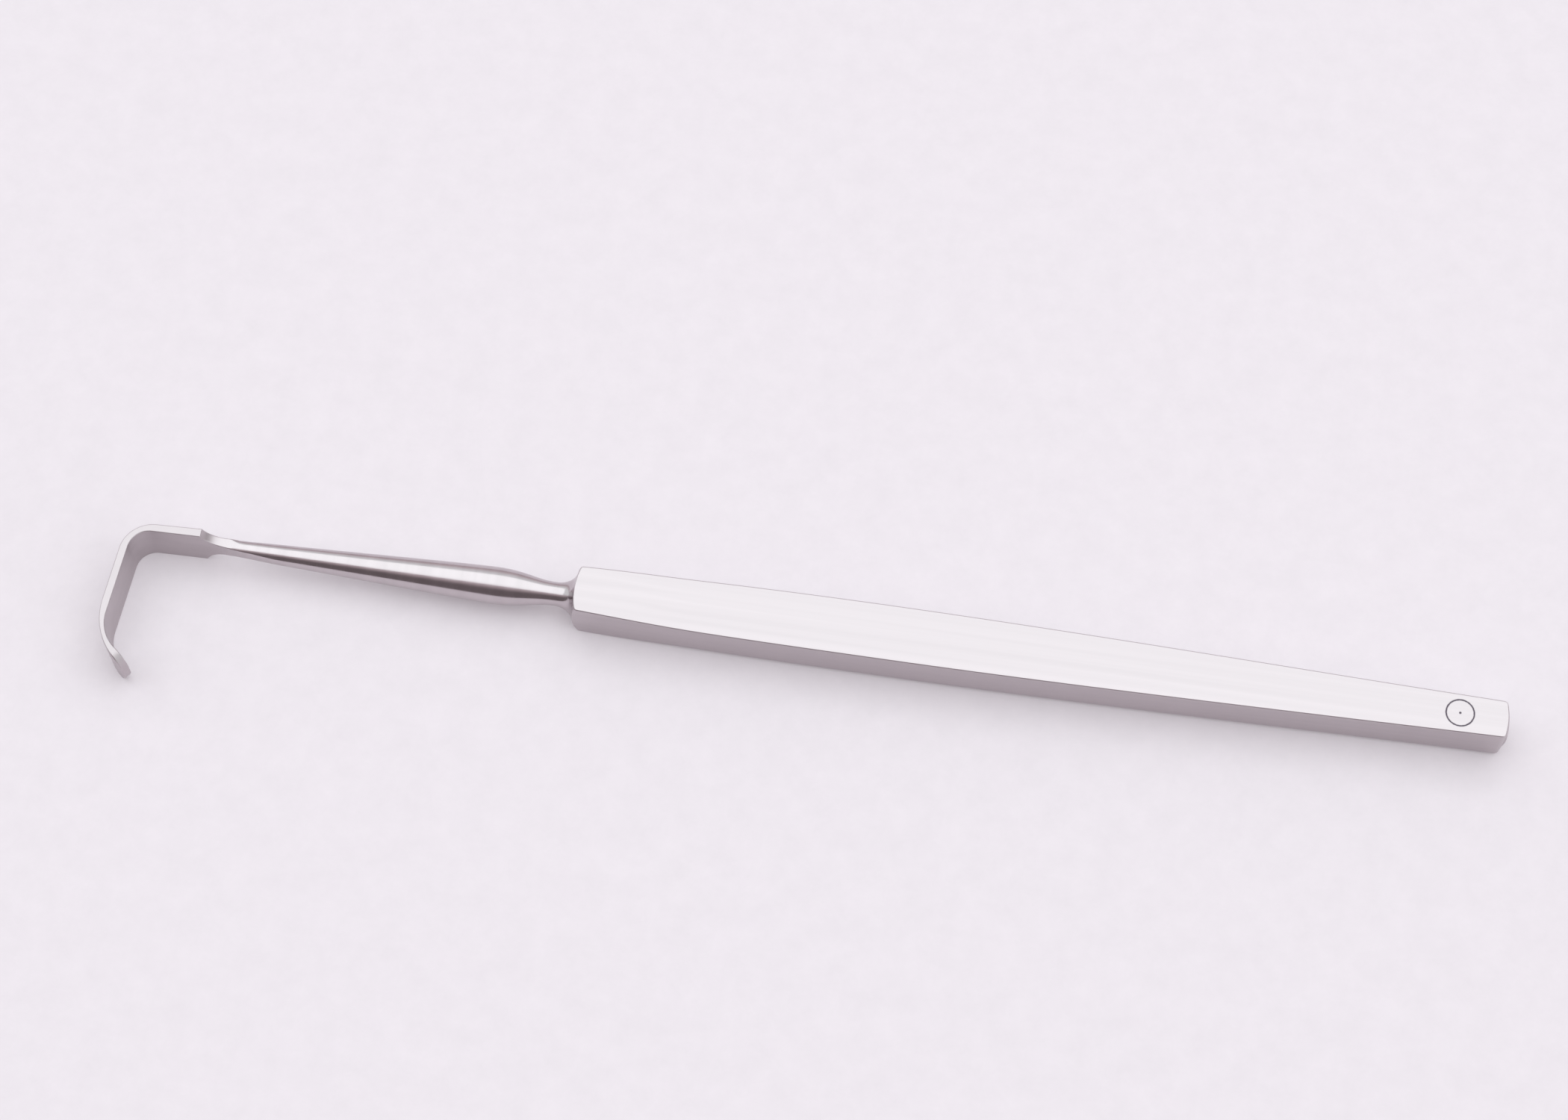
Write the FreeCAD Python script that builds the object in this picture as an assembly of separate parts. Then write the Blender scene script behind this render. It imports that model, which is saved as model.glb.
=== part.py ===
import FreeCAD, Part
import math
import os

# A small handheld retractor, ground from one piece of stainless steel.
# It lies on its broad side. +X runs from the hook to the tail of the handle,
# -Y is the side that the hook turns to, and +Z is up. While it is drawn, X is 0
# at the front of the handle, Y is 0 on the handle's axis and Z is 0 on the
# middle plane. All sizes are in mm, and all angles in degrees.

# Handle: a flat bar, widest a third of the way back and narrower at the tail
handle_length = 107.1
handle_thickness = 4.95
shoulder_width = 5.56
shoulder_thickness = 5.9
shoulder_taper_length = 15.0
shoulder_angle = 2.75
shoulder_shift = -0.13
belly_width = 6.86
belly_distance = 36.0
tail_width = 4.44
tail_thickness = 5.12
tail_swell_length = 17.0
tail_angle = 1.07
tail_dome = 9.0
dome_reach = 45.0
tail_corner = 0.7

# Stem: a turned taper that swells to a bulge and necks in before the handle
stem_length = 41.0
stem_tip_diameter = 2.1
stem_taper_start = 6.2
bulge_diameter = 4.34
bulge_distance = 9.5
bulge_crown_front = 4.35
bulge_crown_back = 3.3
neck_diameter = 2.75
neck_distance = 2.6
neck_run = 2.3

# Flare: turned on from the neck, steepest at the front edge, then rounding off to the handle's corners
flare_lead = 1.5
flare_rise = 0.9
flare_steepness = 76.0
flare_edge_radius = 3.05
flare_edge_place = -0.12
flare_round_lead = 0.5
flare_rim_distance = 0.6
flare_rim_radius = 4.25
flare_rim_slope = 35.0

# Flats on the thin end of the stem, which carry on from the faces of the strip
flat_run = 4.3
flat_fade_length = 12.0
flat_fade_lead = 5.7
flat_fade_rise = 1.85
flat_clearance = 0.1

# Strip: full width from the scoop to the lip
strip_width = 6.1
strip_thickness = 0.92
root_thickness = 1.07
root_offset = 0.075
scoop_length = 2.9
scoop_floor = 2.12
scoop_sink = 0.8

# Hook: a short shank, a bend, a straight blade and a lip that curls back
shank_run = 5.27
shank_lean = 2.0
hook_angle = 84.35
hook_bend_outer = 3.76
hook_bend_inner = 2.35
blade_run = 6.54
lip_angle = 55.9
lip_bend_outer = 8.5
lip_bend_inner = 4.9
lip_run = 0.7
lip_round_length = 1.9

# Places along the handle's axis that several sub-parts share
thin_end = -stem_length
root = thin_end - scoop_length


def curve(*poles):
    """A cubic curve from the first pole to the last, shaped by the two between."""
    bezier = Part.BezierCurve()
    bezier.setPoles(list(poles))
    return bezier.toShape()


def line(start, end):
    return Part.LineSegment(start, end).toShape()


def arc(start, middle, end):
    return Part.Arc(start, middle, end).toShape()


def plan(x, y):
    """A point on the middle plane."""
    return FreeCAD.Vector(x, y, 0)


def side(x, z):
    """A point on the upright plane through the handle's axis."""
    return FreeCAD.Vector(x, 0, z)


def flip(point):
    """The same point on the other side of the axis, for a plan or a side outline."""
    return FreeCAD.Vector(point.x, -point.y, -point.z)


def heading(angle):
    """A unit step on the plan in the direction of an angle."""
    return plan(math.cos(math.radians(angle)), math.sin(math.radians(angle)))


def slope(angle):
    """A unit step on the side view in the direction of an angle."""
    return side(math.cos(math.radians(angle)), math.sin(math.radians(angle)))


def prism(edges, run):
    """A closed outline made solid, reaching as far before its plane as behind it."""
    face = Part.Face(Part.Wire(edges))
    face.translate(run * -0.5)
    return face.extrude(run)


def both_sides(pieces):
    """Edges along one side of the axis, and their mirror images back along the other."""
    there = [draw(*points) for draw, points in pieces]
    back = [draw(*[flip(p) for p in reversed(points)]) for draw, points in reversed(pieces)]
    return there, back


def upright_edge(solid, x, y):
    """The upright edge of a solid that stands nearest to a plan point."""
    upright = [e for e in solid.Edges if e.BoundBox.ZLength > e.BoundBox.DiagonalLength / 2]
    return min(upright, key=lambda e: math.hypot(e.CenterOfMass.x - x, e.CenterOfMass.y - y))


def handle_flank(sign):
    """One bellied side of the handle on the plan, from the neck's plane to past the tail."""
    front = plan(0, shoulder_shift + sign * shoulder_width / 2)
    widest = plan(belly_distance, sign * belly_width / 2)
    rear = plan(handle_length, sign * tail_width / 2)
    third = belly_distance / 3
    tail_third = (rear.x - widest.x) / 3
    rise = third * math.tan(math.radians(shoulder_angle))
    tail_rise = tail_third * math.tan(math.radians(tail_angle))
    return [
        line(front - plan(neck_distance, 0), front),
        curve(front, front + plan(third, sign * rise), widest - plan(third, 0), widest),
        curve(widest, widest + plan(tail_third, 0), rear + plan(-tail_third, sign * tail_rise), rear),
        line(rear, rear + plan(tail_width, 0)),
    ]


def handle_plan():
    """The handle's bar seen from above, too long at the tail, where it is still to be domed."""
    far, near = handle_flank(1), handle_flank(-1)
    front = [flank[0].firstVertex().Point for flank in (far, near)]
    rear = [flank[-1].lastVertex().Point for flank in (far, near)]
    return Part.__sortEdges__(far + [line(*rear)] + near + [line(*front)])


def handle_side():
    """The handle seen from the side: thick at the shoulder, then even, then thicker at the tail."""
    shoulder, middle, tail = shoulder_thickness / 2, handle_thickness / 2, tail_thickness / 2
    third = shoulder_taper_length / 3
    swell_start = handle_length - tail_swell_length
    swell_third = tail_swell_length / 3
    before_front = side(-2 * neck_distance, shoulder)
    past_tail = side(handle_length + tail, tail)
    there, back = both_sides([
        (line, [before_front, side(0, shoulder)]),
        (curve, [
            side(0, shoulder),
            side(third, shoulder),
            side(2 * third, middle),
            side(shoulder_taper_length, middle),
        ]),
        (line, [side(shoulder_taper_length, middle), side(swell_start, middle)]),
        (curve, [
            side(swell_start, middle),
            side(swell_start + swell_third, middle),
            side(handle_length - swell_third, tail),
            side(handle_length, tail),
        ]),
        (line, [side(handle_length, tail), past_tail]),
    ])
    return there + [line(past_tail, flip(past_tail))] + back + [line(flip(before_front), before_front)]


def make_turned():
    """Everything turned on one axis: the stem, the bulge, the neck, the flare and the domed tail."""
    tip, bulge, neck = stem_tip_diameter / 2, bulge_diameter / 2, neck_diameter / 2
    crown, waist = side(-bulge_distance, bulge), side(-neck_distance, neck)
    start = side(thin_end, tip)
    edge = side(flare_edge_place, flare_edge_radius)
    rim = side(flare_rim_distance, flare_rim_radius)
    steep, easy = slope(flare_steepness), slope(flare_rim_slope)
    tail = side(handle_length, 0)
    dome_centre = tail - side(tail_dome, 0)
    dome_edge = dome_centre + slope(dome_reach) * tail_dome
    dome_middle = dome_centre + slope(dome_reach / 2) * tail_dome
    outline = [
        line(side(thin_end, 0), start),
        curve(start, start + side(stem_taper_start, 0), crown - side(bulge_crown_front, 0), crown),
        curve(crown, crown + side(bulge_crown_back, 0), waist - side(neck_run, 0), waist),
        curve(waist, waist + side(flare_lead, 0), edge - steep * flare_rise, edge),
        curve(edge, edge + steep * flare_round_lead, rim - easy * flare_round_lead, rim),
        line(rim, dome_edge),
        arc(dome_edge, dome_middle, tail),
        line(tail, side(thin_end, 0)),
    ]
    return Part.Face(Part.Wire(outline)).revolve(FreeCAD.Vector(), FreeCAD.Vector(1, 0, 0), 360)


def make_handle():
    """The flat bar, its front end turned down to the neck, its tail domed and round at the corners."""
    bar = prism(handle_plan(), FreeCAD.Vector(0, 0, 2 * max(shoulder_thickness, tail_thickness)))
    bar = bar.common(prism(handle_side(), FreeCAD.Vector(0, 2 * belly_width, 0)))
    bar = bar.common(make_turned())
    corners = [upright_edge(bar, handle_length, sign * tail_width / 2) for sign in (1, -1)]
    return bar.makeFillet(tail_corner, corners)


def hook_corners():
    """The middle line of the hook as corners: root, bend, lip bend and lip end, and its headings."""
    turns = [hook_angle, lip_angle]
    middle_radii = [hook_bend_outer - strip_thickness / 2, lip_bend_outer - strip_thickness / 2]
    lead = [r * math.tan(math.radians(t / 2)) for r, t in zip(middle_radii, turns)]
    runs = [shank_run + lead[0], lead[0] + blade_run + lead[1], lead[1] + lip_run]
    headings = [180 + shank_lean, 180 + shank_lean + turns[0], 180 + shank_lean + turns[0] + turns[1]]
    corners = [plan(root, root_offset)]
    for run, angle in zip(runs, headings):
        corners.append(corners[-1] + heading(angle) * run)
    return corners, headings


def offset_corners(sign):
    """The corners of the outer face (sign 1) or the inner face (sign -1) of the strip."""
    corners, headings = hook_corners()
    half = strip_thickness / 2
    moved = [corners[0] + plan(0, sign * root_thickness / 2)]
    for corner, before, after in zip(corners[1:], headings, headings[1:] + headings[-1:]):
        half_turn = math.radians(after - before) / 2
        outwards = heading((before + after) / 2 - 90)
        moved.append(corner + outwards * (sign * half / math.cos(half_turn)))
    return moved


def rounded_path(corners, radii):
    """Straight edges through the corners, joined by an arc of the given radius at each bend."""
    edges = []
    start = corners[0]
    for before, corner, after, radius in zip(corners, corners[1:], corners[2:], radii):
        back = (before - corner).normalize()
        on = (after - corner).normalize()
        half_opening = back.getAngle(on) / 2
        lead = radius / math.tan(half_opening)
        to_middle = (back + on).normalize()
        arc_start, arc_end = corner + back * lead, corner + on * lead
        arc_middle = corner + to_middle * (radius / math.sin(half_opening) - radius)
        edges += [line(start, arc_start), arc(arc_start, arc_middle, arc_end)]
        start = arc_end
    return edges + [line(start, corners[-1])]


def flat_curve(face_start, face_next, sign):
    """One flat of the stem: on from the strip's face, then bowing out until it clears the stem."""
    onward = (face_start - face_next).normalize()
    fade_end = plan(thin_end + flat_fade_length, sign * (bulge_diameter / 2 + flat_clearance))
    return curve(
        fade_end,
        fade_end - plan(flat_fade_lead, sign * flat_fade_rise),
        face_start + onward * flat_run,
        face_start,
    )


def thin_plan():
    """Everything ahead of the handle seen from above: the hook, and an envelope round the stem."""
    outer, inner = offset_corners(1), offset_corners(-1)
    outer_flat = flat_curve(outer[0], outer[1], 1)
    inner_flat = flat_curve(inner[0], inner[1], -1)
    far_start, near_start = outer_flat.firstVertex().Point, inner_flat.firstVertex().Point
    far_end, near_end = plan(-neck_distance, far_start.y), plan(-neck_distance, near_start.y)
    outer_path = rounded_path(outer, [hook_bend_outer, lip_bend_outer])
    inner_path = rounded_path(inner, [hook_bend_inner, lip_bend_inner])
    stem_walls = [line(near_start, near_end), line(near_end, far_end), line(far_end, far_start)]
    tip = line(outer[-1], inner[-1])
    edges = stem_walls + [outer_flat] + outer_path + [tip] + inner_path + [inner_flat]
    return Part.__sortEdges__(edges)


def strip_side():
    """The strip seen from the side: full width, then a scoop down to the thin end of the stem."""
    half, floor = strip_width / 2, scoop_floor / 2
    drop = half - floor
    radius = (scoop_length ** 2 + drop ** 2) / (2 * drop)
    centre = side(thin_end, floor + radius)
    half_sweep = math.asin(scoop_length / radius) / 2
    middle = centre + side(-math.sin(half_sweep), -math.cos(half_sweep)) * radius
    reach = blade_run + hook_bend_outer + lip_bend_outer + shank_run
    far_end = side(root - reach, half)
    sunk = side(thin_end + scoop_length, floor - scoop_sink / 2)
    there, back = both_sides([
        (line, [far_end, side(root, half)]),
        (arc, [side(root, half), middle, side(thin_end, floor)]),
        (line, [side(thin_end, floor), sunk]),
    ])
    return there + [line(sunk, flip(sunk))] + back + [line(flip(far_end), far_end)]


def lip_waste():
    """What is cut off the lip's end, so that it ends in half an ellipse as wide as the strip."""
    outer, inner = offset_corners(1), offset_corners(-1)
    on = heading(hook_corners()[1][-1])
    across = (inner[-1] - outer[-1]).normalize()
    tip = (outer[-1] + inner[-1]) * 0.5
    start = tip - on * lip_round_length
    up = FreeCAD.Vector(0, 0, strip_width / 2)
    ellipse = Part.Ellipse(start + up, tip, start)
    past = [start + up * 2, tip + on + up * 2, tip + on - up * 2, start - up * 2]
    edges = [Part.Arc(ellipse, 0, math.pi).toShape(), line(start + up, past[0]), line(past[-1], start - up)]
    edges += [line(a, b) for a, b in zip(past, past[1:])]
    return prism(Part.__sortEdges__(edges), across * (4 * strip_thickness))


def make_thin_end():
    """The hook, the strip and the stem with its flats, and the lip with its round end."""
    reach = 4 * (blade_run + hook_bend_outer + lip_bend_outer)
    slab = prism(strip_side(), FreeCAD.Vector(0, reach, 0))
    envelope = prism(thin_plan(), FreeCAD.Vector(0, 0, 2 * strip_width))
    blank = slab.common(envelope).cut(lip_waste())
    return blank.fuse(make_turned().common(envelope))


def make_retractor():
    body = make_handle().fuse(make_thin_end())
    body = body.removeSplitter()
    box = body.optimalBoundingBox(False, False)
    body.translate(FreeCAD.Vector(-box.Center.x, -box.Center.y, -box.ZMin))
    return body


os.makedirs("parts", exist_ok=True)
retractor = make_retractor()
retractor.exportStep("parts/retractor.step")
print("solids", len(retractor.Solids), "valid", retractor.isValid(), "volume", retractor.Volume)
print(retractor.optimalBoundingBox(False, False))
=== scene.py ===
import math
from dataclasses import astuple, dataclass, fields

import bpy
import numpy as np
from mathutils import Matrix, Vector


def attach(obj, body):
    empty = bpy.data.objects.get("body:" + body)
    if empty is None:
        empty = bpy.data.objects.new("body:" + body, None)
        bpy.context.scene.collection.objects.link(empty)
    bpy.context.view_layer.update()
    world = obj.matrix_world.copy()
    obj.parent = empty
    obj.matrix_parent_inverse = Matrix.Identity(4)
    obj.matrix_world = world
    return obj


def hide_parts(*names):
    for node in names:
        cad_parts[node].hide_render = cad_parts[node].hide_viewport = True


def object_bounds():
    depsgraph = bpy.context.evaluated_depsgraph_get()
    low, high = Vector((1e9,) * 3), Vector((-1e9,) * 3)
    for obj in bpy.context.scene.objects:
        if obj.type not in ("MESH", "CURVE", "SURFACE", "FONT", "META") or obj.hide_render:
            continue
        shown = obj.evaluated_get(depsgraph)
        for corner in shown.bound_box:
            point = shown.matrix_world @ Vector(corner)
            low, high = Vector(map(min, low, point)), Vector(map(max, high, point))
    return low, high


bl_info = {
    "name": "Handheld Retractor",
    "version": (1, 0, 0),
    "blender": (4, 5, 0),
    "location": "View3D > Sidebar > Retractor",
    "description": "Makes a one-piece steel hand retractor with its finish, floor, light and camera",
    "category": "Object",
}

# Lengths are in metres and angles in radians. +X runs from the hook to the tail of the
# handle, -Y is the side that the hook turns to, and +Z is up from the table.
MM = 0.001

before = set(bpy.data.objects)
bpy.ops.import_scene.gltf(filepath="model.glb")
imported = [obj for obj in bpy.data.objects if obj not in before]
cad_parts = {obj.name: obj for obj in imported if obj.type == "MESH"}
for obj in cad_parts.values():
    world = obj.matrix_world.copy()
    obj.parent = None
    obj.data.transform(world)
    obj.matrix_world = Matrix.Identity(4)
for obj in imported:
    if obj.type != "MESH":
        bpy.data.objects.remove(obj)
cad_low, cad_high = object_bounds()


def length(name, millimetres, description):
    return bpy.props.FloatProperty(
        name=name, description=description, default=millimetres * MM, precision=5, unit="LENGTH")


def angle(name, degrees, description):
    return bpy.props.FloatProperty(
        name=name, description=description, default=math.radians(degrees), unit="ROTATION")


def share(name, value, description):
    return bpy.props.FloatProperty(
        name=name, description=description, default=value, min=0.0, max=1.0, subtype="FACTOR")


def colour(name, values, description):
    return bpy.props.FloatVectorProperty(
        name=name, description=description, default=values, size=3, min=0.0, max=1.0, subtype="COLOR")


def amount(name, value, description, unit="NONE"):
    return bpy.props.FloatProperty(name=name, description=description, default=value, min=0.0, unit=unit)


def group_of(kind, name, description):
    return bpy.props.PointerProperty(type=kind, name=name, description=description)


# --- sizes and colours


class RetractorHandle(bpy.types.PropertyGroup):
    """The flat bar that the hand holds."""

    length: length("Length", 107.1, "From the front edge to the end of the tail")
    thickness: length("Thickness", 4.95, "Along the even middle of the handle")
    shoulder_width: length("Shoulder Width", 5.56, "At the front of the handle")
    shoulder_thickness: length("Shoulder Thickness", 5.9, "At the front of the handle")
    shoulder_taper: length("Shoulder Taper", 15.0, "Length of the thicker shoulder")
    shoulder_angle: angle("Shoulder Angle", 2.75, "How far each side opens out at the front")
    shoulder_shift: length("Shoulder Shift", -0.13, "How far the front stands towards the hook's side")
    belly_width: length("Belly Width", 6.86, "Widest place of the handle")
    belly_distance: length("Belly Distance", 36.0, "From the front to the widest place")
    tail_width: length("Tail Width", 4.44, "At the end of the handle")
    tail_thickness: length("Tail Thickness", 5.12, "At the end of the handle")
    tail_swell: length("Tail Swell", 17.0, "Length of the thicker tail")
    tail_angle: angle("Tail Angle", 1.07, "How far each side closes in at the end")
    tail_dome: length("Tail Dome", 9.0, "Radius of the domed end")
    tail_corner: length("Tail Corner", 0.7, "Radius of the end's upright corners")
    edge: length("Edge Radius", 0.16, "How far the long edges are rounded")
    end_softness: length("End Softness", 0.35, "How far both ends are rounded over")


class RetractorStem(bpy.types.PropertyGroup):
    """The turned stem between the strip and the handle."""

    length: length("Length", 41.0, "From the thin end to the front of the handle")
    tip_diameter: length("Tip Diameter", 2.1, "At the thin end")
    taper_start: length("Taper Start", 6.2, "How long the thin end stays thin")
    bulge_diameter: length("Bulge Diameter", 4.34, "Thickest place of the stem")
    bulge_distance: length("Bulge Distance", 9.5, "From the bulge to the front of the handle")
    bulge_crown_front: length("Bulge Crown Front", 4.35, "Flatness on the hook's side")
    bulge_crown_back: length("Bulge Crown Back", 3.3, "Flatness on the handle's side")
    neck_diameter: length("Neck Diameter", 2.75, "Thinnest place ahead of the handle")
    neck_distance: length("Neck Distance", 2.6, "From the neck to the front of the handle")
    neck_run: length("Neck Run", 2.3, "Flatness on the bulge's side")
    flare_lead: length("Flare Lead", 1.5, "How far the neck runs on before it flares")
    flare_rise: length("Flare Rise", 0.9, "How straight the flare is below its edge")
    flare_steepness: angle("Flare Steepness", 76.0, "Slope of the flare at its edge")
    flare_edge_radius: length("Flare Edge Radius", 3.05, "From the axis to the flare's steepest place")
    flare_edge_place: length("Flare Edge Place", -0.12, "Steepest place, from the handle's front")
    flare_round: length("Flare Round", 0.5, "How fast the flare rounds off to the corners")
    flare_rim_distance: length("Flare Rim Distance", 0.6, "From the front to where the flare ends")
    flare_rim_radius: length("Flare Rim Radius", 4.25, "From the axis to where the flare ends")
    flare_rim_slope: angle("Flare Rim Slope", 35.0, "Slope of the flare where it ends")
    flat_run: length("Flat Run", 2.0, "How far the flats carry the strip's faces on")
    flat_fade: length("Flat Fade", 12.0, "From the thin end to the flats' end")
    flat_fade_lead: length("Flat Fade Lead", 8.0, "How gently the flats leave the stem, along it")
    flat_fade_rise: length("Flat Fade Rise", 1.6, "How gently the flats leave the stem, across it")
    flat_clearance: length("Flat Clearance", 0.1, "How far past the bulge the flats' lines end")
    edge: length("Edge Radius", 0.2, "How far the edges of the flats are rounded")


class RetractorHook(bpy.types.PropertyGroup):
    """The flat strip bent into the hook."""

    strip_width: length("Strip Width", 6.1, "Across the strip")
    strip_thickness: length("Strip Thickness", 0.92, "Through the blade")
    root_thickness: length("Root Thickness", 1.07, "Through the strip where the scoops start")
    root_offset: length("Root Offset", 0.075, "How far the strip's root stands off the stem's axis")
    scoop_length: length("Scoop Length", 2.9, "Length of the hollow between strip and stem")
    scoop_floor: length("Scoop Floor", 2.12, "Across the thin end between the two hollows")
    scoop_sink: length("Scoop Sink", 1.62, "How much narrower the strip ends inside the stem")
    shank_run: length("Shank Run", 5.27, "Straight part between the scoops and the bend")
    shank_lean: angle("Shank Lean", 2.0, "How far the shank leans from the stem's axis")
    hook_angle: angle("Hook Angle", 84.35, "How far the strip is bent")
    hook_bend_outer: length("Hook Bend Outer", 3.76, "Outer radius of the bend")
    hook_bend_inner: length("Hook Bend Inner", 2.35, "Inner radius of the bend")
    blade_run: length("Blade Run", 6.54, "Straight part of the blade")
    lip_angle: angle("Lip Angle", 55.9, "How far the lip curls back")
    lip_bend_outer: length("Lip Bend Outer", 8.5, "Outer radius of the lip's curl")
    lip_bend_inner: length("Lip Bend Inner", 4.9, "Inner radius of the lip's curl")
    lip_run: length("Lip Run", 0.7, "Straight part at the lip's end")
    lip_round: length("Lip Round", 1.9, "Length of the lip's round end")
    lip_edge: length("Lip Edge", 0.13, "How far the lip's end is thinned to a round edge")
    edge: length("Edge Radius", 0.13, "How far the strip's long edges are rounded")
    scoop_softness: length("Scoop Softness", 0.12, "How far the scoops' edges are rounded over")


class RetractorFinish(bpy.types.PropertyGroup):
    """Colours and surface of the steel."""

    steel: colour("Steel", (0.55, 0.50, 0.52), "Colour of the clean steel")
    stain: colour("Stain", (0.10, 0.083, 0.105), "Colour of the etched ring and of small specks")
    handle_roughness: share("Handle Roughness", 0.30, "Roughness of the brushed surface")
    stem_roughness: share("Stem Roughness", 0.17, "Roughness of the turned surface")
    strip_roughness: share("Strip Roughness", 0.42, "Roughness of the matte surface")
    line_depth: length("Line Depth", 0.0016, "Depth of the fine lines left by grinding")
    ring_radius: length("Ring Radius", 1.58, "Of the ring etched near the tail")
    ring_line: length("Ring Line", 0.175, "Width of the etched ring's line")
    ring_distance: length("Ring Distance", 5.86, "From the end of the tail to the ring's middle")


class RetractorStage(bpy.types.PropertyGroup):
    """Floor, light and camera."""

    floor_size: length("Floor Size", 4000.0, "Side of the square floor")
    floor_colour: colour("Floor Colour", (0.778, 0.712, 0.755), "Pale paper that the retractor lies on")
    floor_glow: share("Floor Glow", 0.22, "Share of the floor shown without shading")
    glow_colour: colour("Glow Colour", (0.875, 0.845, 0.90), "Tone of the floor where it isn't shaded")
    lamp_length: length("Lamp Length", 3600.0, "Size of the soft lamp overhead, along the retractor")
    lamp_depth: length("Lamp Depth", 1850.0, "Size of the soft lamp overhead, across the retractor")
    lamp_height: length("Lamp Height", 1370.0, "Height of the soft lamp over the table")
    lamp_behind: length("Lamp Behind", 280.0, "How far behind the retractor the lamp hangs")
    lamp_power: amount("Lamp Power", 14.6, "Power of the soft lamp", "POWER")
    light_colour: colour("Light Colour", (0.95, 1.0, 1.0), "Colour of the lamp and of the ceiling")
    shade_colour: colour("Shade Colour", (1.0, 0.85, 0.89), "Colour of the dim parts of the room")
    room_light: amount("Room Light", 1.05, "Brightness of the ceiling")
    room_shade: amount("Room Shade", 0.19, "Brightness of the dim room in front")
    wall_share: share("Wall Share", 0.55, "Brightness of the wall behind, to the ceiling's")
    shade_start: angle("Shade Start", 5.0, "From overhead towards the front, where it starts to dim")
    shade_end: angle("Shade End", 55.0, "From overhead towards the front, where it is fully dim")
    wall_start: angle("Wall Start", 45.0, "From overhead towards the back, where it starts to dim")
    side_reach: angle("Side Reach", 60.0, "How much further the ceiling reaches on the right")
    corner_shade: share("Corner Shade", 0.7, "How far the right corner behind is dimmed")
    camera_place: bpy.props.FloatVectorProperty(
        name="Camera Place", description="Where the lens stands", size=3, unit="LENGTH",
        default=(0.02082, -0.14676, 0.36434))
    camera_turn: angle("Camera Turn", -8.74, "Heading of the view from straight across the handle")
    camera_dip: angle("Camera Dip", 65.6, "How steeply the camera looks down")
    camera_lens: amount("Focal Length", 78.65, "For a sensor 36 mm wide", "CAMERA")


# --- curves and profiles

ALONG = np.array([1.0, 0.0])


def heading(turn):
    return np.array([math.cos(turn), math.sin(turn)])


def bezier(start, first, second, end, count=120):
    """Points of a cubic curve from start to end."""
    t = np.linspace(0.0, 1.0, count)[:, None]
    poles = [np.asarray(p, float) for p in (start, first, second, end)]
    weights = ((1 - t) ** 3, 3 * t * (1 - t) ** 2, 3 * t ** 2 * (1 - t), t ** 3)
    return sum(weight * pole for weight, pole in zip(weights, poles))


def run_of(*stretches):
    """Stretches of points joined into one run."""
    return np.concatenate([np.atleast_2d(s) for s in stretches])


def read(run, x):
    """Height of a run of points at x."""
    return float(np.interp(x, run[:, 0], run[:, 1]))


def smooth_min(a, b, softness):
    """The lesser of two values, rounded over where they are nearly the same."""
    near = max(softness - abs(a - b), 0.0) / softness
    return min(a, b) - near * near * softness / 4


def ease(x, start, end):
    """A smooth step from 0 at start to 1 at end."""
    t = min(max((x - start) / (end - start), 0.0), 1.0)
    return t * t * (3 - 2 * t)


def steps(*stretches):
    """Places along stretches, each given as its start, its end and the step between places."""
    return [x for stretch in stretches for x in np.arange(*stretch)]


def turned_run(stem, handle):
    """The turned outline as radius over x, from the thin end to past the flare's rim."""
    tip, bulge, neck = stem.tip_diameter / 2, stem.bulge_diameter / 2, stem.neck_diameter / 2
    start = np.array([-stem.length, tip])
    crown = np.array([-stem.bulge_distance, bulge])
    waist = np.array([-stem.neck_distance, neck])
    edge = np.array([stem.flare_edge_place, stem.flare_edge_radius])
    rim = np.array([stem.flare_rim_distance, stem.flare_rim_radius])
    steep, easy = heading(stem.flare_steepness), heading(stem.flare_rim_slope)
    return run_of(
        bezier(start, start + ALONG * stem.taper_start, crown - ALONG * stem.bulge_crown_front, crown),
        bezier(crown, crown + ALONG * stem.bulge_crown_back, waist - ALONG * stem.neck_run, waist),
        bezier(waist, waist + ALONG * stem.flare_lead, edge - steep * stem.flare_rise, edge),
        bezier(edge, edge + steep * stem.flare_round, rim - easy * stem.flare_round, rim),
        [handle.length, 2 * handle.belly_width],
    )


def handle_width_run(handle):
    """Half the handle's width over x."""
    front = np.array([0.0, handle.shoulder_width / 2])
    widest = np.array([handle.belly_distance, handle.belly_width / 2])
    rear = np.array([handle.length, handle.tail_width / 2])
    third, tail_third = (widest[0] - front[0]) / 3, (rear[0] - widest[0]) / 3
    opening = np.array([third, third * math.tan(handle.shoulder_angle)])
    closing = np.array([-tail_third, tail_third * math.tan(handle.tail_angle)])
    return run_of(
        bezier(front, front + opening, widest - ALONG * third, widest),
        bezier(widest, widest + ALONG * tail_third, rear + closing, rear),
    )


def handle_height_run(handle):
    """Half the handle's thickness over x."""
    shoulder, middle = handle.shoulder_thickness / 2, handle.thickness / 2
    tail, third, swell = handle.tail_thickness / 2, handle.shoulder_taper / 3, handle.tail_swell / 3
    swell_start = handle.length - handle.tail_swell
    return run_of(
        bezier([0, shoulder], [third, shoulder], [2 * third, middle], [3 * third, middle]),
        bezier([swell_start, middle], [swell_start + swell, middle],
               [handle.length - swell, tail], [handle.length, tail]),
    )


# --- the hook's faces


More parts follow.
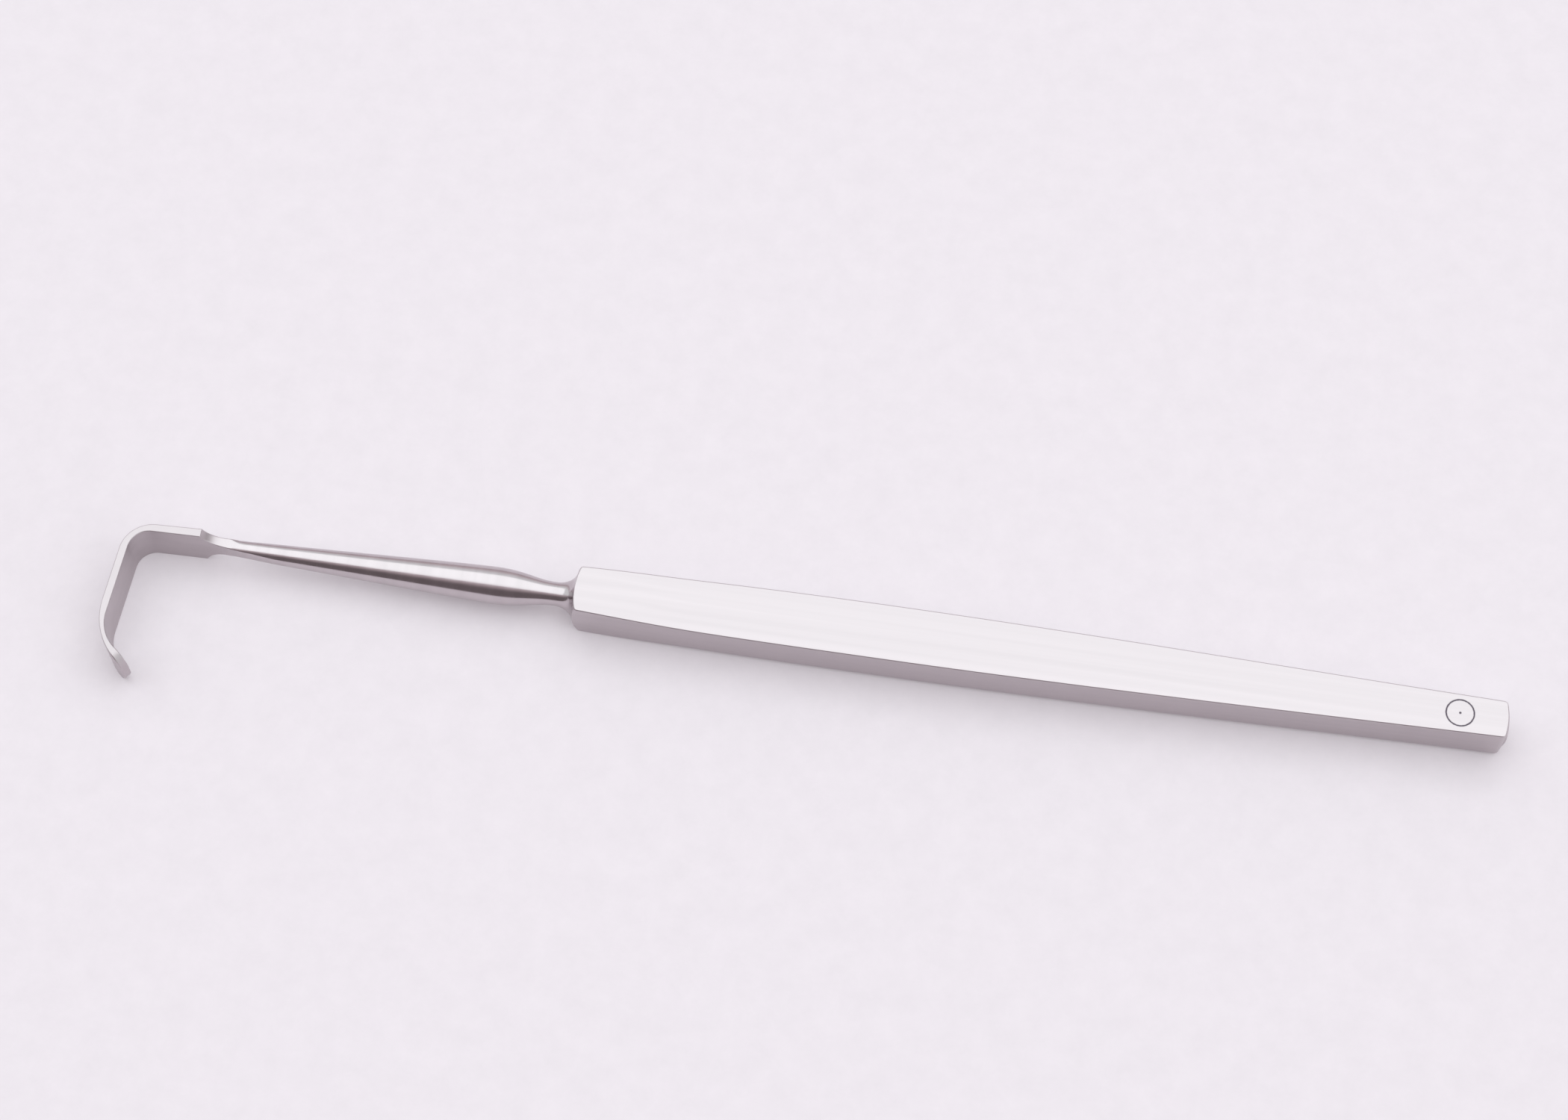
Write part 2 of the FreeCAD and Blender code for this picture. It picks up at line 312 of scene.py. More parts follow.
def hook_corners(hook, root):
    """Corners of the strip's middle line from the root to the lip's end, and its headings."""
    turns = [hook.hook_angle, hook.lip_angle]
    outer = [hook.hook_bend_outer, hook.lip_bend_outer]
    leads = [(r - hook.strip_thickness / 2) * math.tan(t / 2) for r, t in zip(outer, turns)]
    runs = [hook.shank_run + leads[0], leads[0] + hook.blade_run + leads[1], leads[1] + hook.lip_run]
    first = math.pi + hook.shank_lean
    headings = [first, first + turns[0], first + turns[0] + turns[1]]
    corners = [np.array([root, hook.root_offset])]
    for run, turn in zip(runs, headings):
        corners.append(corners[-1] + heading(turn) * run)
    return corners, headings


def face_corners(hook, root, side):
    """Corners of the strip's outer face (side 1) or inner face (side -1)."""
    corners, headings = hook_corners(hook, root)
    moved = [corners[0] + np.array([0.0, side * hook.root_thickness / 2])]
    for corner, before, after in zip(corners[1:], headings, headings[1:] + headings[-1:]):
        outwards = heading((before + after) / 2 - math.pi / 2)
        moved.append(corner + outwards * side * hook.strip_thickness / 2 / math.cos((after - before) / 2))
    return moved


def bent_line(corners, radii, step):
    """Points and outward normals along straight runs joined by arcs, a step apart or closer."""
    points, normals = [], []
    start = corners[0]
    for before, corner, after, radius in zip(corners, corners[1:], corners[2:], radii):
        come = (corner - before) / np.linalg.norm(corner - before)
        go = (after - corner) / np.linalg.norm(after - corner)
        turn = math.acos(float(come @ go))
        lead = radius * math.tan(turn / 2)
        centre = corner - come * lead + np.array([-come[1], come[0]]) * radius
        arc_start = corner - come * lead
        for t in np.linspace(0, 1, max(2, int(np.linalg.norm(arc_start - start) / step)), endpoint=False):
            points.append(start + (arc_start - start) * t)
            normals.append(np.array([come[1], -come[0]]))
        begin = math.atan2(-come[0], come[1])
        for t in np.linspace(0, turn, max(6, int(radius * turn / step)), endpoint=False):
            outwards = heading(begin + t)
            points.append(centre + outwards * radius)
            normals.append(outwards)
        start = corner + go * lead
    end = corners[-1]
    go = (end - start) / np.linalg.norm(end - start)
    for t in np.linspace(0, 1, max(3, int(np.linalg.norm(end - start) / step))):
        points.append(start + (end - start) * t)
        normals.append(np.array([go[1], -go[0]]))
    return np.array(points), np.array(normals)


def thickness_behind(point, normal, inner):
    """Distance from a point of the outer face straight through to the inner face."""
    starts, ends = inner[:-1] - point, inner[1:] - point
    across = np.array([-normal[1], normal[0]])
    a, b = starts @ across, ends @ across
    crossing = np.where((a <= 0) != (b <= 0))[0]
    depths = []
    for i in crossing:
        t = a[i] / (a[i] - b[i])
        depth = -float((starts[i] + (ends[i] - starts[i]) * t) @ normal)
        if depth > 0:
            depths.append(depth)
    return min(depths) if depths else None


# --- stations of the sweep


@dataclass
class Station:
    """One cross-section: a rounded rectangle, cut to a circle round the turning axis.

    Its middle lies at x and y, moved across by shift. The circle has a radius on the far side and one
    on the near side, softness rounds the cut over, and at roundness 1 the circle alone is left.
    """

    x: float
    y: float
    across_x: float
    across_y: float
    shift: float
    half_width: float
    half_height: float
    turned_far: float
    turned_near: float
    edge: float
    softness: float
    roundness: float


# A turned radius far larger than the retractor, which cuts nothing.
NO_TURNING = 1.0

# Distances past the thin end, where the strip's edges turn into the stem's, the cutting circle
# closes in on the strip's corners, and the flats give way to the round.
EDGE_START, EDGE_END = 1.4 * MM, 3.0 * MM
CLOSE_START, CLOSE_END = -0.8 * MM, 0.6 * MM
ROUND_START, ROUND_END = 8.5 * MM, 12.5 * MM


def lip_and_blade_stations(stem, hook, root, until):
    """Sections square to the outer face, from the lip's end back to a place on the shank."""
    step = 0.2 * MM
    line_step = step / 8
    tip_sections, shank_points, edge_room = 30, 60, 0.8
    bends = [hook.hook_bend_outer, hook.lip_bend_outer]
    points, normals = bent_line(face_corners(hook, root, 1), bends, line_step)
    bends = [hook.hook_bend_inner, hook.lip_bend_inner]
    inner, _ = bent_line(face_corners(hook, root, -1), bends, line_step)
    on = points[-1] - points[-2]
    inner = run_of(inner, inner[-1] + on / np.linalg.norm(on) * hook.strip_thickness)
    travelled = np.concatenate([[0.0], np.cumsum(np.linalg.norm(np.diff(points, axis=0), axis=1))])
    whole = travelled[-1]
    past_shank = float(np.interp(-until, -points[:shank_points, 0], travelled[:shank_points]))
    tip_turns = np.linspace(0.0, math.pi / 2, tip_sections)
    from_tip = [hook.lip_round * (1 - math.cos(t)) for t in tip_turns]
    from_tip += steps((hook.lip_round + step, whole - past_shank, step)) + [whole - past_shank]
    for distance in from_tip:
        place = whole - distance
        point = np.array([np.interp(place, travelled, points[:, k]) for k in (0, 1)])
        normal = np.array([np.interp(place, travelled, normals[:, k]) for k in (0, 1)])
        normal /= np.linalg.norm(normal)
        thick = thickness_behind(point, normal, inner) or hook.strip_thickness
        middle = point - normal * thick / 2
        rounding = min(distance / hook.lip_round, 1.0)
        thinning = min(distance / hook.lip_edge, 1.0)
        half_height = hook.strip_width / 2 * math.sqrt(1 - (1 - rounding) ** 2)
        half_width = thick / 2 * math.sqrt(1 - (1 - thinning) ** 2)
        edge = min(hook.edge, edge_room * half_height, edge_room * half_width)
        yield Station(
            *middle, *normal, 0.0, half_width, half_height, NO_TURNING, NO_TURNING, edge, stem.edge, 0.0)


def slab_height(stem, hook, x):
    """Half the height of the strip's slab from the scoop on, until it has sunk into the stem."""
    short_of_upright = 0.999
    floor = hook.scoop_floor / 2
    drop = hook.strip_width / 2 - floor
    radius = (hook.scoop_length ** 2 + drop ** 2) / (2 * drop)
    past = x + stem.length
    if past > hook.scoop_length:
        return 0.0
    if past > 0:
        return floor - hook.scoop_sink / 2 * past / hook.scoop_length
    return floor + radius - math.sqrt(radius ** 2 - min(-past, short_of_upright * radius) ** 2)


def flat_run(stem, hook, root, side):
    """Distance of one flat from the stem's axis over x, starting on the strip's shank."""
    first, second = face_corners(hook, root, side)[:2]
    onward = (first - second) / np.linalg.norm(first - second)
    clear = stem.bulge_diameter / 2 + stem.flat_clearance
    fade_end = np.array([stem.flat_fade - stem.length, side * clear])
    lead = np.array([stem.flat_fade_lead, side * stem.flat_fade_rise])
    shank = first - onward * hook.shank_run
    return run_of(shank, bezier(first, first + onward * stem.flat_run, fade_end - lead, fade_end))


def thin_end_stations(stem, handle, hook, root, start, stop):
    """Sections across the scoops and the thin end, where the strip turns into the stem."""
    thin_end = -stem.length
    outer, inner = flat_run(stem, hook, root, 1), flat_run(stem, hook, root, -1)
    turned = turned_run(stem, handle)
    roof_gap, roof_rise = 0.01 * MM, 0.3 * MM
    first_softness, added_softness = 0.5, 0.9
    places = steps(
        (start, root + 0.35 * MM, 0.025 * MM),
        (root + 0.4 * MM, thin_end, 0.08 * MM),
        (thin_end, thin_end + EDGE_END, 0.15 * MM),
        (thin_end + EDGE_END, stop, 0.3 * MM),
    )
    for x in places:
        radius, slab = read(turned, x), slab_height(stem, hook, x)
        far, near = read(outer, x), -read(inner, x)
        into_stem = ease(x, thin_end + EDGE_START, thin_end + EDGE_END)
        edge = hook.edge + (stem.edge - hook.edge) * into_stem
        softness = stem.edge * (first_softness + added_softness * into_stem)
        roof = smooth_min(hook.strip_width / 2, slab, hook.scoop_softness)
        if x > thin_end:
            roof = radius + roof_gap + roof_rise * into_stem
        clear = softness * (1 - ease(x, thin_end + CLOSE_START, thin_end + CLOSE_END))
        corners = [math.hypot(side, slab) if slab > 0 else 0.0 for side in (far, near)]
        cuts = [max(radius, corner) + clear for corner in corners]
        yield Station(
            x, 0.0, 0.0, 1.0, (far - near) / 2, (far + near) / 2, roof, *cuts,
            edge, softness, ease(x, thin_end + ROUND_START, thin_end + ROUND_END))


def stem_stations(stem, handle, start, stop):
    """Round sections of the turned taper, the bulge and the neck."""
    turned = turned_run(stem, handle)
    step, margin = 0.35 * MM, 0.3 * MM
    for x in steps((start, stop, step)):
        radius = read(turned, x)
        clear = max(stem.bulge_diameter / 2 + stem.flat_clearance, radius + margin)
        yield Station(x, 0.0, 0.0, 1.0, 0.0, clear, clear, radius, radius, stem.edge, stem.edge, 1.0)


def tail_inset(handle, x):
    """How far the tail's round corners draw each side in, measured halfway up the upper half."""
    short_of_square = 0.98
    corner = handle.tail_corner
    reach = math.hypot(handle.tail_width / 2, handle.tail_thickness / 4)
    sag = handle.tail_dome - math.sqrt(handle.tail_dome ** 2 - reach ** 2)
    into = x - (handle.length - sag - corner)
    return corner - math.sqrt(corner ** 2 - min(max(into, 0.0), short_of_square * corner) ** 2)


def handle_stations(stem, handle, start):
    """Sections from the neck over the flare and along the bar to the domed tail."""
    turned = turned_run(stem, handle)
    width, height = handle_width_run(handle), handle_height_run(handle)
    dome_centre = handle.length - handle.tail_dome
    rim = stem.flare_rim_distance
    bar_start, circle_end = rim + 3.0 * MM, start + 1.8 * MM
    places = steps(
        (start, -0.6 * MM, 0.12 * MM),
        (-0.6 * MM, rim + 0.4 * MM, 0.03 * MM),
        (rim + 0.5 * MM, rim + 2.5 * MM, 0.25 * MM),
        (bar_start, handle.length - 1.8 * MM, 1.2 * MM),
    )
    dome_rim, dome_middle, middle_sections = 4.6 * MM, 2.2 * MM, 14
    radii = steps((dome_rim, dome_middle, -0.05 * MM))
    radii += list(np.linspace(dome_middle, 0.0, middle_sections))
    places += [dome_centre + math.sqrt(handle.tail_dome ** 2 - r ** 2) for r in radii]
    for x in places:
        dome = math.sqrt(max(handle.tail_dome ** 2 - max(x - dome_centre, 0.0) ** 2, 0.0))
        cut = min(read(turned, x), dome) if x > bar_start else read(turned, x)
        shift = handle.shoulder_shift * (1 - ease(x, 0.0, handle.belly_distance))
        yield Station(
            x, 0.0, 0.0, 1.0, shift,
            read(width, max(x, 0.0)) - tail_inset(handle, x), read(height, max(x, 0.0)),
            cut, cut, handle.edge, handle.end_softness, 1 - ease(x, start, circle_end))


def all_stations(settings):
    """Every section from the lip's end to the tail, measured from the front of the handle."""
    stem, handle, hook = settings.stem, settings.handle, settings.hook
    root = -stem.length - hook.scoop_length
    shank, fade, neck = root - 0.5 * MM, ROUND_END - stem.length, -stem.neck_distance - 1.6 * MM
    first_step = 0.05 * MM
    return [
        *lip_and_blade_stations(stem, hook, root, shank - first_step),
        *thin_end_stations(stem, handle, hook, root, shank, fade),
        *stem_stations(stem, handle, fade, neck),
        *handle_stations(stem, handle, neck),
    ]


# --- meshes that the sweep reads


def point_mesh(name, positions, attributes):
    """A mesh of loose points with named attributes, each a list of numbers or of vectors."""
    mesh = bpy.data.meshes.new(name)
    mesh.from_pydata([tuple(p) for p in positions], [], [])
    for key, values in attributes.items():
        values = np.asarray(values, np.float32)
        kind, field = ("FLOAT_VECTOR", "vector") if values.ndim == 2 else ("FLOAT", "value")
        mesh.attributes.new(key, kind, "POINT").data.foreach_set(field, values.ravel())
    return mesh


def station_mesh(settings):
    """The sections as points, placed by the frame: tail end, far side and middle height."""
    handle = settings.handle
    front = cad_high.x - handle.length
    axis = cad_high.y - handle.belly_width / 2
    middle = (cad_low.z + cad_high.z) / 2
    table = np.array([astuple(s) for s in all_stations(settings)])
    columns = {f.name: table[:, i] for i, f in enumerate(fields(Station))}
    level = np.zeros(len(table))
    positions = np.stack([columns["x"] + front, columns["y"] + axis, level + middle], axis=1)
    attributes = {"across": np.stack([columns["across_x"], columns["across_y"], level], axis=1)}
    for key in list(columns)[4:]:
        attributes[key] = columns[key]
    return point_mesh("retractor", positions, attributes)


def ring_mesh():
    """The points of one section: place on the flats, direction on the corners, and place on a circle."""
    flat_shares = [0.0, 0.22, 0.42, 0.60, 0.75, 0.87, 0.95, 0.985]
    corner_steps = 5
    flats, corners = [], []
    for quarter in range(4):
        turn = quarter * math.pi / 2
        side = np.rint([math.cos(turn), math.sin(turn)])
        ahead = np.rint([-math.sin(turn), math.cos(turn)])
        for part in flat_shares:
            flats.append(side + ahead * part)
            corners.append(side)
        for step in range(corner_steps):
            flats.append(side + ahead)
            corners.append(heading(turn + math.pi / 2 * step / corner_steps))
        for part in reversed(flat_shares[1:] + [1.0]):
            flats.append(ahead + side * part)
            corners.append(ahead)
    count = len(flats)
    circle = [heading(2 * math.pi * i / count) for i in range(count)]
    positions = [(*f, 0.0) for f in flats]
    lift = np.zeros((count, 1))
    return point_mesh("section ring", positions, {
        "corner": np.hstack([corners, lift]),
        "circle": np.hstack([circle, lift]),
    })


# --- node building


class Wiring:
    """Adds nodes to a tree, each fed by sockets or plain values."""

    def __init__(self, tree):
        self.tree = tree

    def add(self, kind, inputs=(), **settings):
        """A node with its settings and inputs; an input is a socket, a value or None."""
        node = self.tree.nodes.new(kind)
        for key, value in settings.items():
            setattr(node, key, value)
        pairs = inputs.items() if isinstance(inputs, dict) else enumerate(inputs)
        for key, value in pairs:
            if isinstance(value, bpy.types.NodeSocket):
                self.tree.links.new(value, node.inputs[key])
            elif value is not None:
                node.inputs[key].default_value = value
        return node

    def join(self, value, socket):
        self.tree.links.new(value, socket)

    def math(self, operation, *inputs):
        return self.add("ShaderNodeMath", inputs, operation=operation).outputs[0]

    def vector(self, operation, *inputs):
        slots = (0, "Scale") if operation == "SCALE" else (0, 1)
        node = self.add("ShaderNodeVectorMath", dict(zip(slots, inputs)), operation=operation)
        return node.outputs["Value" if operation == "LENGTH" else "Vector"]

    def parts(self, vector):
        return self.add("ShaderNodeSeparateXYZ", [vector]).outputs

    def ranged(self, value, start, end, low=0.0, high=1.0, course="SMOOTHSTEP"):
        """A value that goes from low at start to high at end, and no further."""
        node = self.add("ShaderNodeMapRange", [value, start, end, low, high], interpolation_type=course)
        return node.outputs[0]

    def mix(self, data_type, factor, first, second):
        """The first value where the factor is 0, turning into the second where it is 1."""
        place = ("FLOAT", "VECTOR", "RGBA").index(data_type)
        inputs = {0: factor, 2 + 2 * place: first, 3 + 2 * place: second}
        return self.add("ShaderNodeMix", inputs, data_type=data_type).outputs[place]


def new_group(name, kind, inputs, outputs):
    """A node group with its interface; returns the tree, its wiring and its input and output nodes."""
    tree = bpy.data.node_groups.new(name, kind)
    for way, sockets in (("INPUT", inputs), ("OUTPUT", outputs)):
        for label, socket_type, *default in sockets:
            socket = tree.interface.new_socket(label, in_out=way, socket_type=f"NodeSocket{socket_type}")
            if default:
                socket.default_value = default[0]
    return tree, Wiring(tree), tree.nodes.new("NodeGroupInput"), tree.nodes.new("NodeGroupOutput")


def sweep_tree():
    """Geometry nodes that lay a skin over the sections, point by point of the ring."""
    tree, w, given, made = new_group(
        "Swept Bar", "GeometryNodeTree",
        [("Sections", "Geometry"), ("Ring", "Object"), ("Weld Distance", "Float", 1e-6),
         ("Material", "Material")],
        [("Geometry", "Geometry")],
    )
    sections = given.outputs["Sections"]
    ring = w.add("GeometryNodeObjectInfo", [given.outputs["Ring"]]).outputs["Geometry"]
    section_count = w.add("GeometryNodeAttributeDomainSize", [sections]).outputs["Point Count"]
    ring_count = w.add("GeometryNodeAttributeDomainSize", [ring]).outputs["Point Count"]
    row_length = w.math("ADD", ring_count, 1.0)
    grid = w.add("GeometryNodeMeshGrid", {"Vertices X": section_count, "Vertices Y": row_length})
    index = w.add("GeometryNodeInputIndex").outputs[0]
    # The half keeps rounding from moving a point to the section before its own.
    section = w.math("FLOOR", w.math("DIVIDE", w.math("ADD", index, 0.5), row_length))
    place = w.math("SUBTRACT", index, w.math("MULTIPLY", section, row_length))
    place = w.math("MODULO", place, ring_count)

    def sample(geometry, at, data_type, name=None):
        if name:
            value = w.add("GeometryNodeInputNamedAttribute", [name], data_type=data_type).outputs[0]
        else:
            value = w.add("GeometryNodeInputPosition").outputs[0]
        found = w.add("GeometryNodeSampleIndex", {"Geometry": geometry, "Value": value, "Index": at},
                      data_type=data_type, domain="POINT")
        return found.outputs[0]

    def of_section(name):
        return sample(sections, section, "FLOAT", name)

    flat = w.parts(sample(ring, place, "FLOAT_VECTOR"))
    corner = w.parts(sample(ring, place, "FLOAT_VECTOR", "corner"))
    circle = sample(ring, place, "FLOAT_VECTOR", "circle")
    edge, roundness = of_section("edge"), of_section("roundness")
    spans = []
    for axis, half in enumerate(("half_width", "half_height")):
        straight = w.math("SUBTRACT", of_section(half), edge)
        bend = w.math("MULTIPLY", corner[axis], edge)
        spans.append(w.math("MULTIPLY_ADD", flat[axis], straight, bend))
    shifted = w.math("ADD", spans[0], of_section("shift"))
    box = w.add("ShaderNodeCombineXYZ", [shifted, spans[1]]).outputs[0]
    on_far_side = w.math("GREATER_THAN", w.parts(box)[0], 0.0)
    turned = w.mix("FLOAT", on_far_side, of_section("turned_near"), of_section("turned_far"))
    least_reach = 1e-9
    reach = w.math("MAXIMUM", w.vector("LENGTH", box), least_reach)
    cut_reach = w.math("SMOOTH_MIN", reach, turned, of_section("softness"))
    cut = w.vector("SCALE", box, w.math("DIVIDE", w.math("MAXIMUM", cut_reach, 0.0), reach))
    round_point = w.vector("SCALE", circle, turned)
    leaning = w.mix("VECTOR", roundness, cut, round_point)
    on_circle = w.vector("SCALE", w.vector("NORMALIZE", leaning), turned)
    chosen = w.mix("VECTOR", w.math("GREATER_THAN", roundness, 0.0), cut, on_circle)
    across = sample(sections, section, "FLOAT_VECTOR", "across")
    span = w.parts(chosen)
    upright = w.add("ShaderNodeCombineXYZ", [0.0, 0.0, span[1]]).outputs[0]
    middle = sample(sections, section, "FLOAT_VECTOR")
    position = w.vector("ADD", middle, w.vector("ADD", w.vector("SCALE", across, span[0]), upright))
    skin = w.add("GeometryNodeSetPosition", {"Geometry": grid.outputs["Mesh"], "Position": position})
    welded = w.add("GeometryNodeMergeByDistance",
                   {"Geometry": skin.outputs[0], "Distance": given.outputs["Weld Distance"]})
    outwards = w.add("GeometryNodeFlipFaces", [welded.outputs[0]])
    smooth = w.add("GeometryNodeSetShadeSmooth", {"Geometry": outwards.outputs[0], "Shade Smooth": True})
    real = w.add("GeometryNodeRealizeInstances", [smooth.outputs[0]])
    painted = w.add("GeometryNodeSetMaterial",
                    {"Geometry": real.outputs[0], "Material": given.outputs["Material"]})
    w.join(painted.outputs[0], made.inputs[0])
    return tree


def new_material(name):
    """A material with its wiring and its shader."""
    material = bpy.data.materials.new(name)
    material.use_nodes = True
    return material, Wiring(material.node_tree), material.node_tree.nodes["Principled BSDF"]


def socket_key(tree, label):
    """The identifier of a group's input, by which a modifier's value is set."""
    sockets = tree.interface.items_tree
    return next(s.identifier for s in sockets if s.name == label and s.in_out == "INPUT")


# --- the steel

# Ground lines: squeeze along x, y and z, lines per metre, unevenness.
BRUSHED_LINES = (0.006, 1.0, 1.0), 7000.0, 0.8
TURNED_LINES = (1.0, 0.05, 0.05), 5200.0, 1.2
RUBBED_LINES = (0.25, 0.25, 1.0), 5200.0, 1.0
# How the broad bands among the lines change the tone and the roughness.
BAND_RANGE, TONE_RANGE, BAND_ROUGHNESS = (0.3, 0.7), (0.955, 1.03), 0.12
# Specks: cells per metre, core and rim as shares of a cell, and darkness.
SPECKS_PER_METRE, SPECK_CORE, SPECK_RIM, SPECK_SHARE = 230.0, 0.01, 0.022, 0.4
STAIN_ROUGHNESS = 0.25
# Where one finish turns into the next, from the handle's front, the strip's root and the thin end.
HANDLE_START, HANDLE_END = -0.4 * MM, 0.1 * MM
STRIP_START, STRIP_END = -0.2 * MM, 2.0 * MM


def drawn_lines_group():
    """Fine uneven lines left by a belt or a lathe, along the axis that the vector is squeezed on."""
    broad_scale = 0.17
    tree, w, given, made = new_group(
        "Drawn Lines", "ShaderNodeTree",
        [("Vector", "Vector"), ("Fineness", "Float", 1.0), ("Unevenness", "Float", 0.5)],
        [("Height", "Float"), ("Mask", "Float")],
    )
    scaled = w.vector("SCALE", given.outputs["Vector"], given.outputs["Fineness"])
    fine = w.add("ShaderNodeTexNoise", {"Vector": scaled, "Scale": 1.0, "Detail": 3.0, "Roughness": 0.6})
    broad = w.add(
        "ShaderNodeTexNoise", {"Vector": scaled, "Scale": broad_scale, "Detail": 2.0, "Roughness": 0.5})
    uneven = w.math("MULTIPLY", w.math("SUBTRACT", broad.outputs[0], 0.5), given.outputs["Unevenness"])
    height = w.math("ADD", fine.outputs[0], uneven)
    w.join(height, made.inputs["Height"])
    w.join(broad.outputs[0], made.inputs["Mask"])
    return tree


def etched_ring_group():
    """A thin ring with a dot in its middle, on the upper face. Shares are of the line's width."""
    blur_share, dot_share, grain_per_metre = 0.35, 0.8, 4000.0
    tree, w, given, made = new_group(
        "Etched Ring", "ShaderNodeTree",
        [("Vector", "Vector"), ("Radius", "Float", 1.6 * MM), ("Line", "Float", 0.2 * MM),
         ("Floor Height", "Float", 3.0 * MM)],
        [("Mask", "Float")],
    )
    parts = w.parts(given.outputs["Vector"])
    flat = w.add("ShaderNodeCombineXYZ", [parts[0], parts[1], 0.0]).outputs[0]
    distance = w.vector("LENGTH", flat)
    off_line = w.math("ABSOLUTE", w.math("SUBTRACT", distance, given.outputs["Radius"]))
    half_line = w.math("MULTIPLY", given.outputs["Line"], 0.5)
    blur = w.math("MULTIPLY", given.outputs["Line"], blur_share)
    dot = w.math("MULTIPLY", given.outputs["Line"], dot_share)
    grain = w.add("ShaderNodeTexNoise", {
        "Vector": given.outputs["Vector"], "Scale": grain_per_metre, "Detail": 1.0}).outputs[0]
    ragged = w.math("MULTIPLY", w.math("SUBTRACT", grain, 0.5), blur)

    def inside(away, limit):
        low, high = w.math("SUBTRACT", limit, blur), w.math("ADD", limit, blur)
        return w.ranged(w.math("ADD", away, ragged), low, high, 1.0, 0.0)

    marks = w.math("MAXIMUM", inside(off_line, half_line), inside(distance, dot))
    above = w.math("GREATER_THAN", parts[2], given.outputs["Floor Height"])
    w.join(w.math("MULTIPLY", marks, above), made.inputs["Mask"])
    return tree


def steel_material(settings):
    """Satin stainless steel: lengthwise lines on the handle, rings on the stem, a matte strip."""
    finish, handle, stem, hook = settings.finish, settings.handle, settings.stem, settings.hook
    front = cad_high.x - handle.length
    axis = cad_high.y - handle.belly_width / 2
    thin_end = front - stem.length
    root = thin_end - hook.scoop_length
    material, w, shader = new_material("satin_steel")
    place = w.add("ShaderNodeTexCoord").outputs["Object"]
    x = w.parts(place)[0]
    on_handle = w.ranged(x, front + HANDLE_START, front + HANDLE_END)
    off_strip = w.ranged(x, root + STRIP_START, thin_end + STRIP_END)
    on_stem = w.math("SUBTRACT", off_strip, on_handle)
    on_strip = w.math("SUBTRACT", 1.0, off_strip)
    lines = drawn_lines_group()

    def lines_along(squeeze, fineness, unevenness):
        squeezed = w.add("ShaderNodeMapping", {"Vector": place, "Scale": squeeze}).outputs[0]
        inputs = {"Vector": squeezed, "Fineness": fineness, "Unevenness": unevenness}
        return w.add("ShaderNodeGroup", inputs, node_tree=lines).outputs

    brushed, ringed, rubbed = (lines_along(*kind) for kind in (BRUSHED_LINES, TURNED_LINES, RUBBED_LINES))

    def blend(handle_value, stem_value, strip_value):
        total = w.math("MULTIPLY", on_handle, handle_value)
        total = w.math("MULTIPLY_ADD", on_stem, stem_value, total)
        return w.math("MULTIPLY_ADD", on_strip, strip_value, total)

    height = blend(brushed["Height"], ringed["Height"], rubbed["Height"])
    mask = blend(brushed["Mask"], ringed["Mask"], rubbed["Mask"])
    bump = w.add("ShaderNodeBump", {"Strength": 1.0, "Distance": finish.line_depth, "Height": height})
    w.join(bump.outputs[0], shader.inputs["Normal"])

    ring_middle = (finish.ring_distance - cad_high.x, -axis, 0.0)
    ring = w.add("ShaderNodeGroup", {
        "Vector": w.add("ShaderNodeMapping", {"Vector": place, "Location": ring_middle}).outputs[0],
        "Radius": finish.ring_radius,
        "Line": finish.ring_line,
        "Floor Height": (cad_low.z + cad_high.z) / 2,
    }, node_tree=etched_ring_group())
    cells = w.add("ShaderNodeTexVoronoi", {"Vector": place, "Scale": SPECKS_PER_METRE})
    speck = w.ranged(cells.outputs["Distance"], SPECK_CORE, SPECK_RIM, SPECK_SHARE, 0.0, "LINEAR")
    dirt = w.math("MAXIMUM", ring.outputs["Mask"], speck)
    clean = w.vector("SCALE", tuple(finish.steel), w.ranged(mask, *BAND_RANGE, *TONE_RANGE, "LINEAR"))
    painted = w.mix("RGBA", dirt, clean, (*finish.stain, 1.0))
    w.join(painted, shader.inputs["Base Color"])
    rough = blend(finish.handle_roughness, finish.stem_roughness, finish.strip_roughness)
    rough = w.math("MULTIPLY_ADD", w.math("SUBTRACT", mask, 0.5), BAND_ROUGHNESS, rough)
    w.join(w.math("MULTIPLY_ADD", dirt, STAIN_ROUGHNESS, rough), shader.inputs["Roughness"])
    shader.inputs["Metallic"].default_value = 1.0
    return material


# --- stage

# The paper: blots per metre, how far they change its tone, and its surface.
MOTTLE_PER_METRE, MOTTLE_DEPTH, PAPER_ROUGHNESS, PAPER_SHEEN = 280.0, 0.075, 0.9, 0.2
# Directions in the room: towards the right, and down the wall behind.
SIDE_START, SIDE_END = math.radians(20.0), math.radians(45.0)
WALL_FOOT, CORNER_START, CORNER_END = -math.pi / 2, -math.pi / 3, -math.pi / 6


